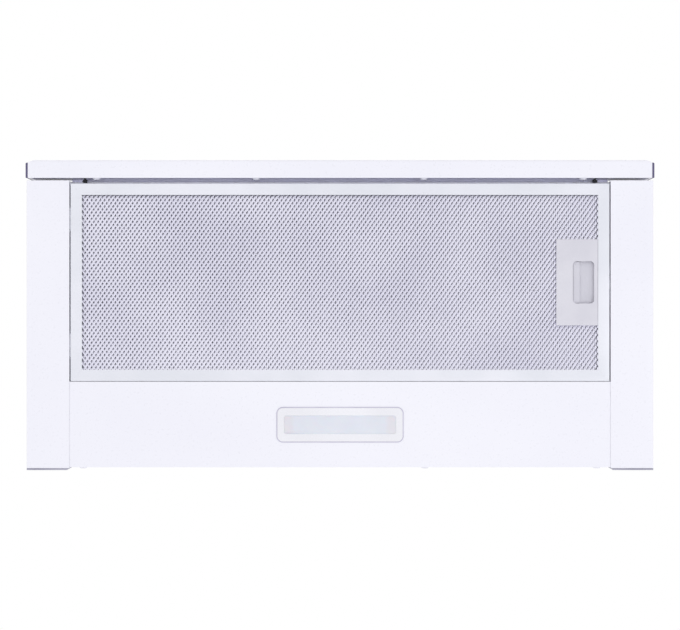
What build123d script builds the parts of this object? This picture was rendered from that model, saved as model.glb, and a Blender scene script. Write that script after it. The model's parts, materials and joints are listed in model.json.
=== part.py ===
from build123d import *
import os
from math import acos, degrees, sqrt

# Telescopic range hood for a 60 cm cabinet. Millimetres. X to the right, Y to the wall behind, Z up.
# The origin is the middle of the four cabinet screw holes, on the top face of the housing.

# ---------------------------------------------------------------- driving dimensions
hood_width = 598.0
hood_depth = 295.0
housing_height = 175.0
sheet = 1.0                     # steel sheet of the housing, fillers and visor
fold_radius = 0.8
running_gap = 0.3               # between pieces that slide or drop past each other

# front rail
rail_depth = 17.1
rail_height = 45.0
rail_wall = 1.2
rail_corner = (8.0, 3.0)        # how far each front corner is cut back, along X and along Y
rail_edge_radius = 2.5
end_cap, end_cap_radius = 2.1, 0.6
back_plate_border = 3.0
rail_screw_x, rail_screw_lift = (-232.0, -80.0, 80.0, 232.0), 6.5
screw_head_radius, screw_head_height, screw_head_edge = 3.6, 1.6, 0.9
screw_radius, screw_length, screw_clear = 1.6, 5.0, 0.05
bumper_x, bumper_lift = 243.2, 7.5
bumper_radius, bumper_length = 2.2, 4.3
bumper_stem_radius, bumper_stem_length = 1.2, 1.5

# push buttons on the rail
button_names = ("lamp", "off", "speed_1", "speed_2", "speed_3")
button_width, button_height, button_pitch = 13.4, 8.4, 21.0
button_corner, button_inset = 1.5, 0.3
button_flange = 1.5             # how far the flange stands out round the cap
button_flange_thickness, button_stem_radius = 1.2, 2.0
button_clear = 0.3
button_travel = 2.0
button_level = 22.0
last_button_x = 264.0
board_thickness = 1.6
control_board_depth = 10.5      # front of the rail to the board
tact_size, tact_height = 6.0, 2.0

# side fillers and the niche between them
filler_inset = 1.0              # from the end of the rail
filler_width = 40.6
filler_height = 40.0
filler_flange = 18.0
filler_trim, trim_lift = 1.9, 0.4
rail_gap = 2.4                  # rail to fillers
rear_setback = 2.7              # rear wall to the rearmost face
rear_screw_inset, middle_rear_screw_x, rear_screw_lift = 12.5, 81.0, 8.0
housing_setback = 2.5           # housing behind the front of the fillers
front_panel_gap, front_panel_flange = 1.5, 12.0

# main filter and its latch
filter_gap = 0.9                # filter to side wall
filter_front_gap = 5.2          # rail to filter
filter_thickness = 9.0
filter_lift = 1.0               # its lower face above the lowest face of the hood
filter_border = 11.0
foil = 0.8                      # aluminium of the filter frames
seat_lip, seat_gap, seat_setback = 8.4, 0.4, 1.0
mesh_sheet, mesh_layers = 0.5, 3
mesh_gap = 0.3                  # edge of the mesh to the inside of its frame
mesh_clear = 0.1
latch_width, latch_length = 39.7, 82.0
pocket_width, pocket_length = 20.0, 40.0
pocket_inset = 3.8              # pocket to the inner edge of the filter's border
pocket_corner = 3.5
latch_skin = 1.5
ridge_width = 6.1
slider_lift, slider_drop = 3.0, 0.6     # its floor above the filter's face, its top below the plate's
bolt_width, bolt_height, bolt_reach, bolt_lift = 16.0, 3.4, 0.6, 4.0
catch_width, catch_height, catch_steel = 12.0, 12.0, 0.6
catch_reach, catch_lead, catch_stand = 2.0, 0.5, 3.0
tongue_width, tongue_length, tongue_height, tongue_lift = 22.0, 5.5, 1.5, 3.0
tongue_inset = 34.15            # middle of a tongue from the end of the filter
slot_clear, slot_top_clear = 1.0, 0.2
spring_radius, spring_wire, spring_spacing, spring_bore_length = 1.6, 0.5, 24.0, 10.0

# lamp panel and lamp
panel_depth = 81.4
panel_lift = 0.8
lamp_y_from_rear = 40.45
bezel_width, bezel_length, bezel_corner = 119.2, 32.0, 5.2
bezel_lap, bezel_fit = 2.0, 0.2     # bezel over the panel, and its collar in the panel's hole
bezel_collar, bezel_face = 9.0, 1.6
lens_width, lens_length, lens_corner, lens_thickness = 106.5, 17.3, 2.0, 3.0
lens_lift, lens_fit, lens_rebate = 0.5, 0.2, 2.5
lamp_board_border, lamp_board_half_width = 4.0, 13.0
led_size, led_height, led_pitch, led_count = 5.0, 1.4, 12.0, 8
panel_upstand = 4.0             # upright behind the filter, above the visor

# visor
visor_clear = 1.6               # visor above the seat of the main filter
visor_height = 23.0
visor_rear_gap = 6.0            # visor to the upright behind the filter
visor_ring = 11.0
slide_width = 10.4              # room for a ball slide on each side
slide_overlap = 32.9            # slide members, left overlapping with the visor pulled out
slide_height = 20.0
slide_steel = 1.2
slide_inset = 1.0
slide_tab = 1.2                 # its front tab, which closes the corner beside the visor
ball_radius = 1.5
ball_clear = 0.2
cage_length, cage_balls, cage_sheet = 50.0, 4, 0.6
cassette_height, cassette_border, cassette_lap = 7.0, 9.0, 5.0

# blower
blower_y = 5.0
blower_clear = 7.4              # scroll to the visor under it
moulding = 1.6
wheel_radius, wheel_half_length = 48.0, 58.0
wheel_side_gap = 7.0
cutoff_gap = 8.0
scroll_step = 6.0
outlet_front = 14.0             # front wall of the outlet, behind the shaft
inlet_radius = 42.0
blade_count, blade_chord, blade_thickness, blade_angle = 36, 9.0, 0.9, 35.0
shaft_radius = 4.0
bearing_gap = 0.04
motor_radius, motor_length, motor_gap = 41.0, 56.0, 7.4
arm_radius, arm_circle, arm_count = 3.0, 50.0, 3
grommet_length, grommet_wall = 5.0, 2.6
nut_radius, nut_length = 6.5, 6.0

# outlet adapter and damper
spigot_radius = 60.0
adapter_wall = 1.8
adapter_flange, adapter_corner, adapter_screw_inset = 3.0, 6.0, 7.0
adapter_rim_x, adapter_rim_y = 9.0, 7.0
adapter_throat, throat_corner = 25.0, 3.0
spigot_length = 40.0
flap_thickness, flap_gap, flap_lift = 1.2, 0.8, 12.0
pin_radius, pin_gap, pin_offset = 1.8, 0.05, 2.6
boss_depth, boss_half_height, boss_half_width = 5.0, 4.0, 6.5
ledge = 2.0                     # ledge under the flaps, and the bar under their pins

# fixing holes in the top plate
cabinet_spacing_x, cabinet_spacing_y, cabinet_hole_radius = 440.0, 180.0, 2.5

# electrical parts
driver_size, driver_offset = (70.0, 34.0, 20.0), 60.0
terminal_size, terminal_wall = (90.0, 46.0, 38.0), 2.0
gland_radius, gland_bore, gland_bore_length = 10.0, 4.5, 20.0
gland_from_side, gland_from_rear = 92.0, 30.0
capacitor_radius, capacitor_length = 14.0, 52.0
capacitor_offset, capacitor_y = 50.0, -20.0
clip_width, clip_steel, clip_foot, clip_clear = 14.0, 1.2, 26.0, 0.05
switch_size, switch_inset = (20.0, 10.0, 16.0), 57.0
plunger_radius, plunger_gap, plunger_drop = 1.5, 0.3, 6.0

# ---------------------------------------------------------------- worked-out places
floor_z = -housing_height
front_y = -hood_depth / 2
rear_y = hood_depth / 2
rail_back_y = front_y + rail_depth
filler_front_y = rail_back_y + rail_gap
filler_out_x = hood_width / 2 - filler_inset
wall_out_x = filler_out_x - filler_width + sheet
wall_in_x = wall_out_x - sheet
wall_rear_y = rear_y - rear_setback
panel_front_y = wall_rear_y - panel_depth
filter_x = wall_in_x - filter_gap
filter_front_y = rail_back_y + filter_front_gap
filter_rear_y = panel_front_y - running_gap
filter_low_z = floor_z + filter_lift
filter_top_z = filter_low_z + filter_thickness
filter_mid_y = (filter_front_y + filter_rear_y) / 2
seat_z = filter_top_z + seat_gap
housing_front_y = filler_front_y + housing_setback
visor_low_z = seat_z + sheet + visor_clear
visor_top_z = visor_low_z + visor_height
visor_x = wall_in_x - slide_width
visor_rear_y = panel_front_y - visor_rear_gap
visor_travel = visor_rear_y - housing_front_y - slide_overlap
scroll_x = wheel_half_length + wheel_side_gap
scroll_radius = wheel_radius + cutoff_gap
blower_z = visor_top_z + blower_clear + moulding + scroll_radius + scroll_step + scroll_step / 2
outlet_rear = scroll_radius + 2.5 * scroll_step
spigot_y = blower_y + (outlet_front + outlet_rear) / 2
spigot_base_z = adapter_flange + adapter_throat
flap_z = spigot_base_z + flap_lift
outlet_half_width = scroll_x - 5.0
latch_right_x = filter_x - filter_border + 0.6
latch_left_x = filter_x - filter_border - latch_width
pocket_right_x = filter_x - filter_border - pocket_inset
pocket_left_x = pocket_right_x - pocket_width
slider_z = filter_low_z + slider_lift
bolt_z = filter_low_z + bolt_lift
lamp_y = wall_rear_y - lamp_y_from_rear

SIDES = (("left", -1), ("right", 1))
os.makedirs("parts", exist_ok=True)


def save(piece, label):
    """Name a finished piece and write it as its own file."""
    piece.part.label = label
    export_step(piece.part, f"parts/{label}.step")


def block(x, y, z, mode=Mode.ADD):
    """A box between two X, two Y and two Z values, in the piece being built."""
    with Locations((sum(x) / 2, sum(y) / 2, sum(z) / 2)):
        Box(abs(x[1] - x[0]), abs(y[1] - y[0]), abs(z[1] - z[0]), mode=mode)


def rod(centre, along, radius, length, mode=Mode.ADD):
    """A cylinder about its middle point, along X, Y or Z, in the piece being built."""
    turn = {"X": (0, 90, 0), "Y": (90, 0, 0), "Z": (0, 0, 0)}[along]
    with Locations(centre):
        Cylinder(radius, length, rotation=turn, mode=mode)


# ---------------------------------------------------------------- housing
rear_screw_z = floor_z + rear_screw_lift
rear_screw_x = (rear_screw_inset - wall_in_x, middle_rear_screw_x, wall_in_x - rear_screw_inset)
slot_y = [filter_front_y + tongue_inset, filter_rear_y - tongue_inset]
tongue_slot_z = (filter_low_z + tongue_lift - slot_clear + slot_top_clear, filter_top_z - slot_top_clear)
catch_slot_y = (filter_mid_y - bolt_width, filter_mid_y + bolt_width)
catch_slot_z = (filter_low_z + slot_clear, filter_top_z - slot_top_clear)
filler_in_x = wall_out_x + sheet


def tongue_slot(y):
    """Ends of the slot for the tongue at y."""
    return y - tongue_width / 2 - slot_clear, y + tongue_width / 2 + slot_clear


for side, s in SIDES:
    # side wall, with slots for the filter's tongues on the left and its catch on the right
    with BuildPart() as side_wall:
        block((s * wall_in_x, s * wall_out_x), (housing_front_y, wall_rear_y), (floor_z + sheet, -sheet))
        if s < 0:
            for y in slot_y:
                block((-filler_in_x, -wall_in_x), tongue_slot(y), tongue_slot_z, mode=Mode.SUBTRACT)
        else:
            block((wall_in_x, wall_out_x), catch_slot_y, catch_slot_z, mode=Mode.SUBTRACT)
    save(side_wall, f"side_wall_{side}")

    # side filler: a folded tray, open at the top beside the outer flange
    with BuildPart() as filler:
        block((s * wall_in_x, s * filler_out_x), (filler_front_y, rear_y - filler_trim),
              (floor_z, floor_z + filler_height))
        block((s * filler_in_x, s * (filler_out_x - sheet)),
              (filler_front_y + sheet, rear_y - filler_trim - sheet),
              (floor_z + sheet, floor_z + filler_height - sheet), mode=Mode.SUBTRACT)
        block((s * filler_in_x, s * (filler_out_x - filler_flange)),
              (filler_front_y + sheet, rear_y - filler_trim - sheet),
              (floor_z + sheet, floor_z + filler_height), mode=Mode.SUBTRACT)
        block((s * wall_in_x, s * wall_out_x), (filler_front_y, rear_y),
              (floor_z + sheet, floor_z + filler_height), mode=Mode.SUBTRACT)
        if s < 0:
            for y in slot_y:
                block((-filler_in_x, -wall_out_x), tongue_slot(y), tongue_slot_z, mode=Mode.SUBTRACT)
        else:
            block((wall_out_x, filler_in_x), catch_slot_y, catch_slot_z, mode=Mode.SUBTRACT)
        outer_edges = filler.edges().filter_by(Axis.Y).group_by(Axis.Z)[0]
        fillet(outer_edges.sort_by(Axis.X)[-1 if s > 0 else 0], radius=fold_radius)
    save(filler, f"side_filler_{side}")

with BuildPart() as filler_trims:
    for side, s in SIDES:
        block((s * filler_in_x, s * filler_out_x), (rear_y - filler_trim, rear_y),
              (floor_z + trim_lift, floor_z + filler_height))
save(filler_trims, "filler_rear_trims")

with BuildPart() as rear_wall:
    block((-wall_in_x, wall_in_x), (wall_rear_y - sheet, wall_rear_y), (floor_z + panel_lift + sheet, -sheet))
    for x in rear_screw_x:
        rod((x, wall_rear_y - sheet / 2, rear_screw_z), "Y", screw_radius + screw_clear, sheet,
            mode=Mode.SUBTRACT)
save(rear_wall, "rear_wall")

front_panel_z = visor_top_z + front_panel_gap
with BuildPart() as front_panel:
    block((-wall_in_x, wall_in_x), (housing_front_y, housing_front_y + sheet), (front_panel_z, -sheet))
    block((-wall_in_x, wall_in_x), (housing_front_y, housing_front_y + front_panel_flange),
          (front_panel_z, front_panel_z + sheet))
save(front_panel, "front_panel")

adapter_half_x, adapter_half_y = scroll_x + adapter_rim_x, spigot_radius + adapter_rim_y
adapter_screw_x, adapter_screw_y = adapter_half_x - adapter_screw_inset, adapter_half_y - adapter_screw_inset
adapter_screws = [(x, spigot_y + y) for x in (-adapter_screw_x, adapter_screw_x)
                  for y in (-adapter_screw_y, adapter_screw_y)]
gland_x, gland_y = gland_from_side - wall_in_x, wall_rear_y - gland_from_rear
with BuildPart() as top_plate:
    block((-wall_out_x, wall_out_x), (housing_front_y, wall_rear_y), (-sheet, 0))
    block((-outlet_half_width, outlet_half_width), (blower_y + outlet_front, blower_y + outlet_rear),
          (-sheet, 0), mode=Mode.SUBTRACT)
    with BuildSketch(Plane.XY.offset(-sheet)):
        with GridLocations(cabinet_spacing_x, cabinet_spacing_y, 2, 2):
            Circle(cabinet_hole_radius)
        with Locations(*adapter_screws):
            Circle(screw_radius + screw_clear)
        with Locations((gland_x, gland_y)):
            Circle(gland_radius - 2.0)
    extrude(amount=sheet, mode=Mode.SUBTRACT)
save(top_plate, "top_plate")

# ring that the main filter closes against
with BuildPart() as filter_seat:
    block((-wall_in_x, wall_in_x), (filler_front_y + seat_setback, panel_front_y), (seat_z, seat_z + sheet))
    block((-wall_in_x + seat_lip, wall_in_x - seat_lip),
          (filter_front_y + seat_lip, filter_rear_y - seat_lip), (seat_z, seat_z + sheet), mode=Mode.SUBTRACT)
save(filter_seat, "filter_seat")

# spring leaf under the latch bolt, screwed to the outside of the right wall
catch_low_z = filter_low_z + 2.0
catch_top_z = catch_low_z + catch_height
catch_tip_x, catch_bend_x = filter_x - catch_reach, filter_x + 1.2
catch_out_x = filler_in_x + catch_stand
with BuildPart() as filter_catch:
    with BuildSketch(Plane.XZ.offset(-(filter_mid_y - catch_width / 2))):
        with BuildLine():
            Polyline(
                (catch_tip_x, catch_low_z + catch_lead), (catch_bend_x, catch_low_z),
                (catch_out_x, catch_low_z), (catch_out_x, catch_top_z), (filler_in_x, catch_top_z),
                (filler_in_x, catch_top_z - catch_steel),
                (catch_out_x - catch_steel, catch_top_z - catch_steel),
                (catch_out_x - catch_steel, catch_low_z + catch_steel),
                (catch_bend_x, catch_low_z + catch_steel),
                (catch_tip_x, catch_low_z + catch_lead + catch_steel), close=True)
        make_face()
    extrude(amount=-catch_width)
save(filter_catch, "filter_catch")

# ---------------------------------------------------------------- lamp panel and lamp
panel_z = floor_z + panel_lift
switch_x = visor_x - switch_inset
plunger_z = visor_top_z - plunger_drop
with BuildPart() as lamp_panel:
    block((-wall_in_x, wall_in_x), (panel_front_y, wall_rear_y), (panel_z, panel_z + sheet))
    block((-wall_in_x, wall_in_x), (panel_front_y, panel_front_y + sheet),
          (panel_z, visor_top_z + panel_upstand))
    with BuildSketch(Plane.XY.offset(panel_z)):
        with Locations((0, lamp_y)):
            RectangleRounded(bezel_width - 2 * bezel_lap, bezel_length - 2 * bezel_lap,
                             bezel_corner - bezel_lap)
    extrude(amount=sheet, mode=Mode.SUBTRACT)
    rod((switch_x, panel_front_y + sheet / 2, plunger_z), "Y", plunger_radius + plunger_gap, sheet,
        mode=Mode.SUBTRACT)
save(lamp_panel, "lamp_panel")

collar_in = bezel_lap + bezel_fit
lens_seat_z = floor_z + bezel_face
with BuildPart() as lamp_bezel:
    with BuildSketch(Plane.XY.offset(floor_z)):
        with Locations((0, lamp_y)):
            RectangleRounded(bezel_width, bezel_length, bezel_corner)
    extrude(amount=panel_lift)
    with BuildSketch(Plane.XY.offset(panel_z)):
        with Locations((0, lamp_y)):
            RectangleRounded(bezel_width - 2 * collar_in, bezel_length - 2 * collar_in,
                             bezel_corner - collar_in)
    extrude(amount=bezel_collar - panel_lift)
    with BuildSketch(Plane.XY.offset(floor_z)):
        with Locations((0, lamp_y)):
            RectangleRounded(lens_width, lens_length, lens_corner)
    extrude(amount=bezel_collar, mode=Mode.SUBTRACT)
    with BuildSketch(Plane.XY.offset(lens_seat_z)):
        with Locations((0, lamp_y)):
            RectangleRounded(lens_width + 2 * lens_rebate, lens_length + 2 * lens_rebate, lens_corner + 1)
    extrude(amount=bezel_collar, mode=Mode.SUBTRACT)
save(lamp_bezel, "lamp_bezel")

lens_top_z = floor_z + lens_lift + lens_thickness
lens_flange = 2 * (lens_rebate - running_gap)
lens_flange_z = lens_seat_z + 0.05
with BuildPart() as lamp_diffuser:
    with BuildSketch(Plane.XY.offset(floor_z + lens_lift)):
        with Locations((0, lamp_y)):
            RectangleRounded(lens_width - 2 * lens_fit, lens_length - 2 * lens_fit, lens_corner - lens_fit)
    extrude(amount=lens_thickness)
    with BuildSketch(Plane.XY.offset(lens_flange_z)):
        with Locations((0, lamp_y)):
            RectangleRounded(lens_width + lens_flange, lens_length + lens_flange, lens_corner + 0.8)
    extrude(amount=lens_top_z - lens_flange_z)
save(lamp_diffuser, "lamp_diffuser")

lamp_board_z = floor_z + bezel_collar
lamp_board_x = lens_width / 2 + lamp_board_border
with BuildPart() as lamp_board:
    block((-lamp_board_x, lamp_board_x), (lamp_y - lamp_board_half_width, lamp_y + lamp_board_half_width),
          (lamp_board_z, lamp_board_z + board_thickness))
    with Locations((0, lamp_y, lamp_board_z - led_height / 2 + 0.1)):
        with GridLocations(led_pitch, 1, led_count, 1):
            Box(led_size, led_size, led_height)
save(lamp_board, "lamp_board")

driver_x = -(bezel_width / 2 + driver_offset)
with BuildPart() as lamp_driver:
    with Locations((driver_x, lamp_y, panel_z + sheet + driver_size[2] / 2)):
        Box(*driver_size)
    fillet(lamp_driver.edges().filter_by(Axis.Z), radius=3)
    chamfer(lamp_driver.edges().group_by(Axis.Z)[-1], length=1)
save(lamp_driver, "lamp_driver")

# ---------------------------------------------------------------- main filter
bolt_half = bolt_width / 2
with BuildPart() as filter_frame:
    block((-filter_x, filter_x), (filter_front_y, filter_rear_y), (filter_low_z, filter_top_z))
    block((-filter_x + filter_border, filter_x - filter_border),
          (filter_front_y + filter_border, filter_rear_y - filter_border), (filter_low_z, filter_top_z),
          mode=Mode.SUBTRACT)
    block((-filter_x + foil, filter_x - foil), (filter_front_y + foil, filter_rear_y - foil),
          (filter_low_z + foil, filter_top_z - foil), mode=Mode.SUBTRACT)
    block((filter_x - foil, filter_x), (filter_mid_y - bolt_half - 0.5, filter_mid_y + bolt_half + 0.5),
          (filter_low_z + 1.4, filter_top_z - foil), mode=Mode.SUBTRACT)
    for y in slot_y:
        block((-filter_x - tongue_length, -filter_x), (y - tongue_width / 2, y + tongue_width / 2),
              (filter_low_z + tongue_lift, filter_low_z + tongue_lift + tongue_height))
save(filter_frame, "filter_frame")

mesh_edge = foil + mesh_gap
mesh_low_z = filter_low_z + foil + mesh_clear
mesh_step = (filter_top_z - foil - mesh_clear - mesh_sheet - mesh_low_z) / (mesh_layers - 1)
latch_low_y, latch_high_y = filter_mid_y - latch_length / 2, filter_mid_y + latch_length / 2
bolt_room = (filter_mid_y - bolt_half - 1.2, filter_mid_y + bolt_half + 1.2)
with BuildPart() as filter_mesh:
    for i in range(mesh_layers):
        layer_z = mesh_low_z + i * mesh_step
        block((-filter_x + mesh_edge, filter_x - mesh_edge),
              (filter_front_y + mesh_edge, filter_rear_y - mesh_edge), (layer_z, layer_z + mesh_sheet))
    block((latch_left_x - 0.4, latch_right_x + 0.4), (latch_low_y - 0.4, latch_high_y + 0.4),
          (filter_low_z, filter_top_z), mode=Mode.SUBTRACT)
    block((latch_right_x, filter_x), bolt_room, (filter_low_z, filter_top_z), mode=Mode.SUBTRACT)
save(filter_mesh, "filter_mesh")

latch_top_z = filter_top_z - foil - mesh_clear
with BuildPart() as latch_plate:
    block((latch_left_x, latch_right_x - 0.9), (latch_low_y, latch_high_y), (filter_low_z, latch_top_z))
    block((latch_right_x - 0.9, latch_right_x), (latch_low_y, latch_high_y),
          (mesh_low_z, latch_top_z))
    block((latch_left_x + latch_skin, latch_right_x - latch_skin),
          (filter_mid_y - pocket_length / 2 - 3, filter_mid_y + pocket_length / 2 + 3),
          (filter_low_z + latch_skin, filter_top_z), mode=Mode.SUBTRACT)
    with BuildSketch(Plane.XY.offset(filter_low_z)):
        with Locations(((pocket_left_x + pocket_right_x) / 2, filter_mid_y)):
            RectangleRounded(pocket_width, pocket_length, pocket_corner)
    extrude(amount=latch_skin, mode=Mode.SUBTRACT)
    block((latch_right_x - latch_skin, latch_right_x),
          (filter_mid_y - bolt_half - running_gap, filter_mid_y + bolt_half + running_gap),
          (bolt_z - 1.3, filter_top_z), mode=Mode.SUBTRACT)
save(latch_plate, "latch_plate")

slider_left_x = pocket_left_x - 1.0
spring_y = [filter_mid_y - spring_spacing / 2, filter_mid_y + spring_spacing / 2]
slider_top_z = latch_top_z - slider_drop
spring_z = (slider_z + slider_top_z) / 2
with BuildPart() as latch_slider:
    block((slider_left_x, latch_right_x - latch_skin - 0.4),
          (filter_mid_y - pocket_length / 2 - 2.6, filter_mid_y + pocket_length / 2 + 2.6),
          (slider_z, slider_top_z))
    block((pocket_left_x + 0.4, pocket_left_x + 0.4 + ridge_width),
          (filter_mid_y - pocket_length / 2 + 0.5, filter_mid_y + pocket_length / 2 - 0.5),
          (filter_low_z + latch_skin + 0.1, slider_z))
    block((latch_right_x - 6.0, filter_x + bolt_reach), (filter_mid_y - bolt_half, filter_mid_y + bolt_half),
          (bolt_z, bolt_z + bolt_height))
    for y in spring_y:
        rod((slider_left_x + spring_bore_length / 2, y, spring_z), "X", spring_radius + 0.1,
            spring_bore_length, mode=Mode.SUBTRACT)
save(latch_slider, "latch_slider")

spring_start_x, spring_end_x = latch_left_x + latch_skin, slider_left_x + spring_bore_length
spring_mid_x, spring_length = (spring_start_x + spring_end_x) / 2, spring_end_x - spring_start_x
with BuildPart() as latch_springs:
    for y in spring_y:
        rod((spring_mid_x, y, spring_z), "X", spring_radius, spring_length)
        rod((spring_mid_x, y, spring_z), "X", spring_radius - spring_wire, spring_length, mode=Mode.SUBTRACT)
save(latch_springs, "latch_springs")

# ---------------------------------------------------------------- front rail
rail_x = hood_width / 2
plate_x = rail_x - end_cap - back_plate_border


def rail_outline(x_end):
    """Plan of the rail, with its two front corners cut back, out to x_end on both sides."""
    cut_x, cut_y = rail_corner
    flat_x = rail_x - cut_x
    end_y = front_y + cut_y * (x_end - flat_x) / cut_x
    with BuildSketch(Plane.XY.offset(floor_z)) as outline:
        with BuildLine():
            Polyline((-x_end, end_y), (-flat_x, front_y), (flat_x, front_y), (x_end, end_y),
                     (x_end, rail_back_y), (-x_end, rail_back_y), close=True)
        make_face()
    return outline.sketch


with BuildPart() as front_rail:
    extrude(rail_outline(rail_x - end_cap), amount=rail_height)
    rail_edges = front_rail.edges().filter_by(Axis.X)
    fillet(rail_edges.group_by(Axis.Y)[0], radius=rail_edge_radius)
    block((-plate_x, plate_x), (front_y + rail_wall, rail_back_y),
          (floor_z + rail_wall, floor_z + rail_height - rail_wall), mode=Mode.SUBTRACT)
    with BuildSketch(Plane.XZ.offset(-front_y - rail_wall)):
        for i in range(len(button_names)):
            with Locations((last_button_x - i * button_pitch, floor_z + button_level)):
                RectangleRounded(button_width + 2 * button_clear, button_height + 2 * button_clear,
                                 button_corner + button_clear)
    extrude(amount=rail_wall, mode=Mode.SUBTRACT)
save(front_rail, "front_rail")

for side, s in SIDES:
    with BuildPart() as rail_end_cap:
        extrude(rail_outline(rail_x), amount=rail_height)
        block((-rail_x, rail_x - end_cap) if s > 0 else (-rail_x + end_cap, rail_x),
              (front_y, rail_back_y), (floor_z, floor_z + rail_height), mode=Mode.SUBTRACT)
        fillet(rail_end_cap.edges().filter_by(Axis.Z), radius=end_cap_radius)
    save(rail_end_cap, f"rail_end_cap_{side}")

rail_screw_z = floor_z + rail_screw_lift
with BuildPart() as rail_back_plate:
    block((-plate_x, plate_x), (rail_back_y - sheet, rail_back_y),
          (floor_z + rail_wall, floor_z + rail_height - rail_wall))
    for x in rail_screw_x:
        rod((x, rail_back_y - sheet / 2, rail_screw_z), "Y", screw_radius + screw_clear, sheet,
            mode=Mode.SUBTRACT)
save(rail_back_plate, "rail_back_plate")


def pan_head_screw(x, y, z):
    """A pan-head screw along Y: its head behind the face at y, its shank in front of it."""
    rod((x, y + screw_head_height / 2, z), "Y", screw_head_radius, screw_head_height)
    rod((x, y - screw_length / 2, z), "Y", screw_radius, screw_length)


with BuildPart() as rail_screws:
    for x in rail_screw_x:
        pan_head_screw(x, rail_back_y, rail_screw_z)
    fillet(rail_screws.edges().filter_by(GeomType.CIRCLE).group_by(Axis.Y)[-1],
           radius=screw_head_edge)
save(rail_screws, "rail_screws")

# rubber bumpers on the back plate: a thin stem, then a head that stops short of the filter
bumper_head_length = bumper_length - bumper_stem_length
bumper_head_y = rail_back_y + bumper_stem_length + bumper_head_length / 2
with BuildPart() as rail_bumpers:
    for side, s in SIDES:
        rod((s * bumper_x, bumper_head_y, floor_z + bumper_lift), "Y", bumper_radius, bumper_head_length)
    fillet(rail_bumpers.edges().filter_by(GeomType.CIRCLE).group_by(Axis.Y)[-1], radius=0.8)
    for side, s in SIDES:
        rod((s * bumper_x, rail_back_y + bumper_length / 4, floor_z + bumper_lift), "Y",
            bumper_stem_radius, bumper_length / 2)
save(rail_bumpers, "rail_bumpers")

# push buttons: cap flush with the rail, a flange behind its front wall, and a stem
button_face_y = front_y + button_inset
button_z = floor_z + button_level
flange_front_y = front_y + rail_wall + running_gap
flange_back_y = flange_front_y + button_flange_thickness
flange_half_width = button_width / 2 + button_flange
flange_half_height = button_height / 2 + button_flange
board_y = front_y + control_board_depth
switch_front_y = board_y - tact_height
stem_end_y = switch_front_y - button_travel - running_gap
for i, name in enumerate(button_names):
    button_x = last_button_x - (len(button_names) - 1 - i) * button_pitch
    with BuildPart() as button:
        with BuildSketch(Plane.XZ.offset(-button_face_y)):
            with Locations((button_x, button_z)):
                RectangleRounded(button_width, button_height, button_corner)
        extrude(amount=button_face_y - flange_back_y)
        fillet(button.faces().sort_by(Axis.Y)[0].edges(), radius=0.4)
        block((button_x - flange_half_width, button_x + flange_half_width), (flange_front_y, flange_back_y),
              (button_z - flange_half_height, button_z + flange_half_height))
        rod((button_x, (flange_back_y + stem_end_y) / 2, button_z), "Y", button_stem_radius,
            stem_end_y - flange_back_y)
    save(button, f"button_{name}")

board_border, board_post_inset, board_post_radius = 12.0, 5.0, 2.5
board_back_y = board_y + board_thickness
board_low_x = last_button_x - (len(button_names) - 1) * button_pitch - board_border
board_high_x = last_button_x + board_border
with BuildPart() as control_board:
    block((board_low_x, board_high_x), (board_y, board_back_y), (button_z - 12, button_z + 12))
    with Locations(*[(last_button_x - i * button_pitch, board_y - tact_height / 2, button_z)
                     for i in range(len(button_names))]):
        Box(tact_size, tact_height, tact_size)
    for x in (board_low_x + board_post_inset, board_high_x - board_post_inset):
        rod((x, (board_back_y + rail_back_y - sheet) / 2, button_z - 8), "Y", board_post_radius,
            rail_back_y - sheet - board_back_y)
save(control_board, "control_board")

# ---------------------------------------------------------------- visor
ring_x = visor_x - visor_ring
ring_front_y, ring_rear_y = rail_back_y + 18.0, visor_rear_y - visor_ring
with BuildPart() as visor_frame:
    block((-visor_x, visor_x), (rail_back_y, visor_rear_y), (visor_low_z, visor_low_z + sheet))
    block((-ring_x, ring_x), (ring_front_y, ring_rear_y), (visor_low_z, visor_low_z + sheet),
          mode=Mode.SUBTRACT)
    for side, s in SIDES:
        block((s * (visor_x - sheet), s * visor_x), (rail_back_y, visor_rear_y),
              (visor_low_z, visor_top_z - sheet))
    block((-visor_x, visor_x), (rail_back_y, rail_back_y + sheet), (visor_low_z, visor_top_z - sheet))
save(visor_frame, "visor_frame")

with BuildPart() as visor_cover:
    block((-visor_x, visor_x), (rail_back_y, visor_rear_y), (visor_top_z - sheet, visor_top_z))
    block((switch_x - 6, switch_x + 6), (visor_rear_y - sheet, visor_rear_y),
          (plunger_z - 5, visor_top_z - sheet))
save(visor_cover, "visor_cover")

# the visor's own filter: a folded frame resting on the ring, with two sheets of mesh in it
frame_x = ring_x + cassette_lap
frame_front_y, frame_rear_y = ring_front_y - cassette_lap, ring_rear_y + cassette_lap
cassette_low_z = visor_low_z + sheet
cassette_top_z = cassette_low_z + cassette_height
with BuildPart() as visor_filter:
    block((-frame_x, frame_x), (frame_front_y, frame_rear_y), (cassette_low_z, cassette_top_z))
    block((-frame_x + cassette_border, frame_x - cassette_border),
          (frame_front_y + cassette_border, frame_rear_y - cassette_border),
          (cassette_low_z, cassette_top_z), mode=Mode.SUBTRACT)
    block((-frame_x + foil, frame_x - foil), (frame_front_y + foil, frame_rear_y - foil),
          (cassette_low_z + foil, cassette_top_z - foil), mode=Mode.SUBTRACT)
    for low_z in (cassette_low_z + foil + mesh_clear, cassette_top_z - foil - mesh_clear - mesh_sheet):
        block((-frame_x + mesh_edge, frame_x - mesh_edge),
              (frame_front_y + mesh_edge, frame_rear_y - mesh_edge), (low_z, low_z + mesh_sheet))
save(visor_filter, "visor_filter")

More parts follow.
